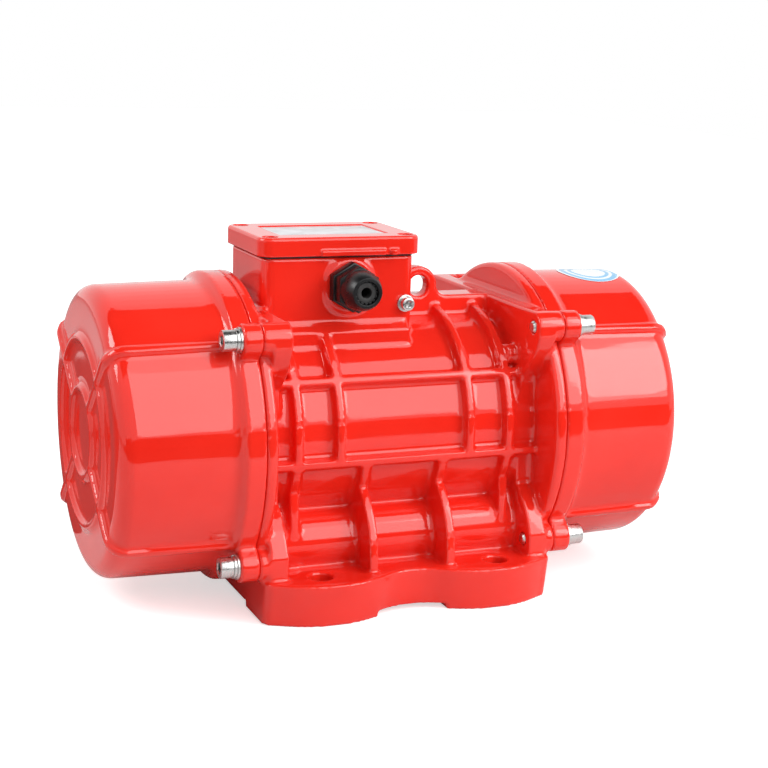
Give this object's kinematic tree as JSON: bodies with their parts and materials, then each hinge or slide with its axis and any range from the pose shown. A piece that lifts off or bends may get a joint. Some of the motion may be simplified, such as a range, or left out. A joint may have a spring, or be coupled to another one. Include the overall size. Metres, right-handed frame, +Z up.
{
  "type": "vibration motor",
  "caption": "Foot-mounted external vibration motor: ribbed motor housing with round end covers over adjustable eccentric weights, top terminal box and cable gland.",
  "frame": {"origin": "on the ground, under the shaft, in the middle of the four feet", "axes": "+X along the shaft away from the terminal box, -Y towards the cable gland, +Z up"},
  "size_m": [0.384, 0.21, 0.2323],
  "materials": {
    "red_enamel": "glossy enamel over a smooth casting",
    "zinc_steel": "bright zinc plating",
    "black_rubber": "matt",
    "bare_plate": "satin, blank",
    "board_plastic": "moulded thermoset",
    "brass": "bare",
    "black_nylon": "moulded, slightly satin",
    "grey_iron": "cast, lightly machined",
    "bearing_steel": "ground",
    "core_steel": "stacked laminations",
    "copper": "varnished copper wire",
    "cast_aluminium": "cast",
    "shaft_steel": "turned"
  },
  "bodies": {
    "frame": {"housing": "red_enamel", "right_cover": "red_enamel", "left_cover": "red_enamel", "terminal_lid": "red_enamel", "right_cover_seal": "black_rubber", "left_cover_seal": "black_rubber", "lid_gasket": "black_rubber", "cover_flat_washers": "zinc_steel", "cover_spring_washers": "zinc_steel", "cover_screws": "zinc_steel", "lid_screws": "zinc_steel", "rating_plate": "bare_plate", "terminal_board": "board_plastic", "terminal_studs": "brass", "terminal_nuts": "brass", "terminal_links": "brass", "gland_body": "black_nylon", "gland_nut": "black_nylon", "gland_claws": "black_nylon", "gland_locknut": "black_nylon", "gland_seal": "black_rubber", "earth_washer": "zinc_steel", "earth_screw": "zinc_steel", "right_bearing_shield": "grey_iron", "left_bearing_shield": "grey_iron", "right_bearing_cap": "grey_iron", "left_bearing_cap": "grey_iron", "shield_screws": "zinc_steel", "cap_screws": "zinc_steel", "right_bearing_outer_ring": "bearing_steel", "left_bearing_outer_ring": "bearing_steel", "stator_core": "core_steel", "stator_winding": "copper"},
    "rotor": {"shaft": "shaft_steel", "weight_keys": "shaft_steel", "rotor_core": "core_steel", "right_rotor_end_ring": "cast_aluminium", "left_rotor_end_ring": "cast_aluminium", "right_fixed_weight": "grey_iron", "left_fixed_weight": "grey_iron", "fixed_clamp_screws": "zinc_steel", "right_weight_spacer": "zinc_steel", "left_weight_spacer": "zinc_steel", "right_setting_disc": "cast_aluminium", "left_setting_disc": "cast_aluminium", "right_circlip": "shaft_steel", "left_circlip": "shaft_steel", "right_bearing_inner_ring": "bearing_steel", "left_bearing_inner_ring": "bearing_steel"},
    "right_outer_weight": {"right_adjustable_weight": "grey_iron", "right_adjustable_clamp_screw": "zinc_steel"},
    "left_outer_weight": {"left_adjustable_weight": "grey_iron", "left_adjustable_clamp_screw": "zinc_steel"},
    "right_roller_set": {"right_bearing_rollers": "bearing_steel", "right_bearing_cage": "brass"},
    "left_roller_set": {"left_bearing_rollers": "bearing_steel", "left_bearing_cage": "brass"}
  },
  "joints": [
    {"name": "rotor_spin", "type": "hinge", "parent": "frame", "child": "rotor", "pos_m": [0, 0, 0.1075], "axis": [1, 0, 0], "continuous": true},
    {"name": "right_weight_setting", "type": "hinge", "parent": "rotor", "child": "right_outer_weight", "pos_m": [0, 0, 0.1075], "axis": [1, 0, 0], "range_deg": [0, 180]},
    {"name": "left_weight_setting", "type": "hinge", "parent": "rotor", "child": "left_outer_weight", "pos_m": [0, 0, 0.1075], "axis": [1, 0, 0], "range_deg": [0, 180]},
    {"name": "right_cage_spin", "type": "hinge", "parent": "frame", "child": "right_roller_set", "pos_m": [0, 0, 0.1075], "axis": [1, 0, 0], "continuous": true},
    {"name": "left_cage_spin", "type": "hinge", "parent": "frame", "child": "left_roller_set", "pos_m": [0, 0, 0.1075], "axis": [1, 0, 0], "continuous": true}
  ],
  "couplings": [
    {"joint": "right_cage_spin", "follows": "rotor_spin", "ratio": 0.39519},
    {"joint": "left_cage_spin", "follows": "rotor_spin", "ratio": 0.39519}
  ]
}
